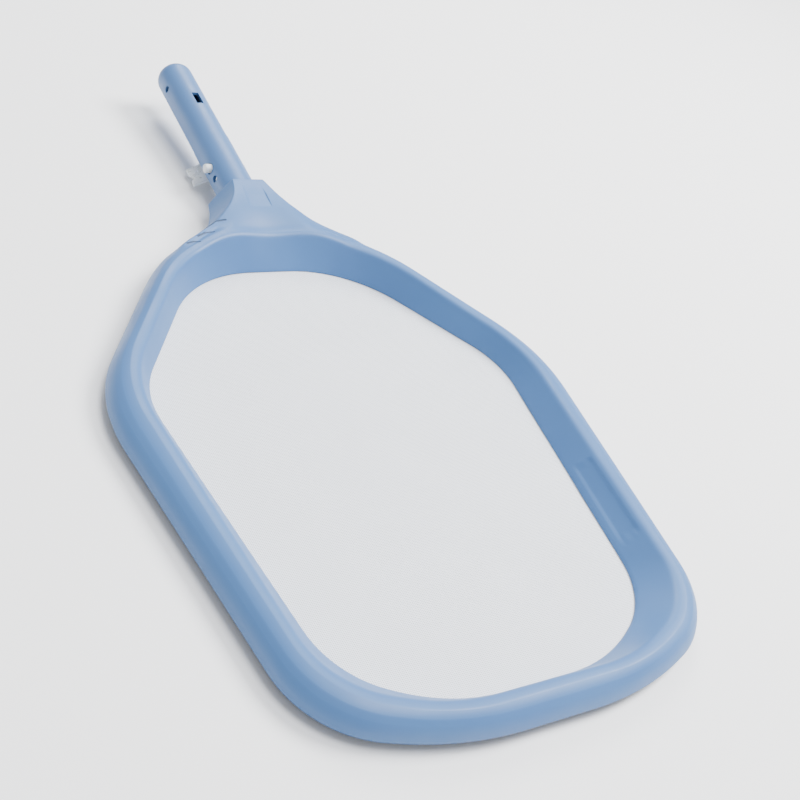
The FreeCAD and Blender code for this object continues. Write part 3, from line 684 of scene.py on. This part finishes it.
def stretched_net():
    """The cloth clamped in the ring: its outline, shrunk towards the middle in even steps.

    The two parameters are the way round the outline and the share of the way in. The cloth is flat,
    with a ripple of a tenth of a millimetre where it is pulled to the screws.
    """
    around, inward = NET_AROUND, NET_INWARD
    shares = np.linspace(0, 1, around // 2 + 1)
    right = rounded_half(OPENING, shares)
    outline = np.vstack([right, right[-2:0:-1] * [-1, 1]])
    tangent = unit(np.roll(outline, -1, axis=0) - np.roll(outline, 1, axis=0))
    outline = outline + np.stack([-tangent[:, 1], tangent[:, 0]], axis=1) * NET_REACH
    middle = np.array([0.0, (outline[:, 1].min() + outline[:, 1].max()) / 2])
    share = np.linspace(1, NET_CORE, inward)[None, :, None]
    plan = middle + (outline[:, None, :] - middle) * share
    turn = np.arange(around)[:, None] * 2 * np.pi / around
    ripple = NET_RIPPLE * np.sin(RIPPLES * turn) * share[..., 0] ** 6
    height = np.full(plan.shape[:2], NET_Z) + ripple
    points = np.concatenate([plan, height[..., None]], axis=2).reshape(-1, 3)
    centre = np.array([[middle[0], middle[1], NET_Z]])
    faces = grid_faces(around, inward, True, False)
    last = np.arange(around) * inward + inward - 1
    tip = np.full(around, around * inward)
    fan = np.stack([last, np.roll(last, -1), tip], axis=1)
    vertices = (np.vstack([points, centre]) + ORIGIN) * MM
    piece = mesh_piece("stretched_net", vertices, faces, "skimmer", ["net"], extra=fan)
    solid = piece.modifiers.new("cloth thickness", "SOLIDIFY")
    solid.thickness = CLOTH_THICKNESS
    solid.offset = 0.0
    wear(net_finish, piece)
    return piece


stretched_net()


# ---------------------------------------------------------------- floor, light and camera
def studio():
    """A pale floor and background, with soft lights from the right, above and behind."""
    corners = [(x * FLOOR_HALF, y * FLOOR_HALF, FLOOR_DROP) for x, y in ((-1, -1), (1, -1), (1, 1), (-1, 1))]
    mesh = bpy.data.meshes.new("floor")
    mesh.from_pydata(corners, [], [(0, 1, 2, 3)])
    floor = bpy.data.objects.new("floor", mesh)
    bpy.context.scene.collection.objects.link(floor)
    material, _, _, shader = new_material("pale floor")
    shader.inputs["Base Color"].default_value = (*FLOOR_COLOUR, 1)
    shader.inputs["Roughness"].default_value = 0.9
    wear(material, floor)
    world = bpy.data.worlds.new("studio")
    bpy.context.scene.world = world
    world.use_nodes = True
    background = world.node_tree.nodes["Background"]
    background.inputs["Color"].default_value = (*WORLD_COLOUR, 1)
    background.inputs["Strength"].default_value = WORLD_STRENGTH
    for name, spot, size, power in LIGHTS:
        light = bpy.data.lights.new(name, "AREA")
        light.shape = "DISK"
        light.size = size
        light.energy = power
        lamp = bpy.data.objects.new(name, light)
        bpy.context.scene.collection.objects.link(lamp)
        lamp.location = spot
        lamp.rotation_euler = (Vector((0, 0, 0)) - Vector(spot)).to_track_quat("-Z", "Y").to_euler()


FLOOR_HALF, FLOOR_DROP = 8.0, -0.0002
FLOOR_COLOUR, WORLD_COLOUR = (0.97, 0.97, 0.975), (0.95, 0.97, 1.0)
WORLD_STRENGTH = 0.75
# each light's place, size and power
LIGHTS = [("key light", (1.3, -0.1, 1.6), 0.9, 78.0), ("back light", (0.7, 1.5, 1.5), 1.0, 34.0),
          ("top light", (0.3, -0.5, 2.3), 1.2, 48.0)]
studio()

CAMERA_AIM = (0.0340, -0.0563, 0.0035)
CAMERA_DISTANCE = 0.7873
CAMERA_TURN, CAMERA_RISE, CAMERA_ROLL = 43.88, 36.905, 24.06    # degrees
LENS, SENSOR_WIDTH = 54.0, 36.0    # mm


def add_camera():
    """Looks at the aim point from behind the front lip, turned, raised and rolled."""
    turn, rise, roll = (math.radians(a) for a in (CAMERA_TURN, CAMERA_RISE, CAMERA_ROLL))
    forward = Vector((math.cos(rise) * math.sin(turn), math.cos(rise) * math.cos(turn), -math.sin(rise)))
    level_right = forward.cross(Vector((0, 0, 1))).normalized()
    level_up = level_right.cross(forward)
    right = level_right * math.cos(roll) + level_up * math.sin(roll)
    up = right.cross(forward)
    camera = bpy.data.objects.new("camera", bpy.data.cameras.new("camera"))
    bpy.context.scene.collection.objects.link(camera)
    camera.data.lens = LENS
    camera.data.sensor_width = SENSOR_WIDTH
    facing = Matrix((right, up, -forward)).transposed().to_4x4()
    camera.matrix_world = Matrix.Translation(Vector(CAMERA_AIM) - forward * CAMERA_DISTANCE) @ facing
    bpy.context.scene.camera = camera


add_camera()
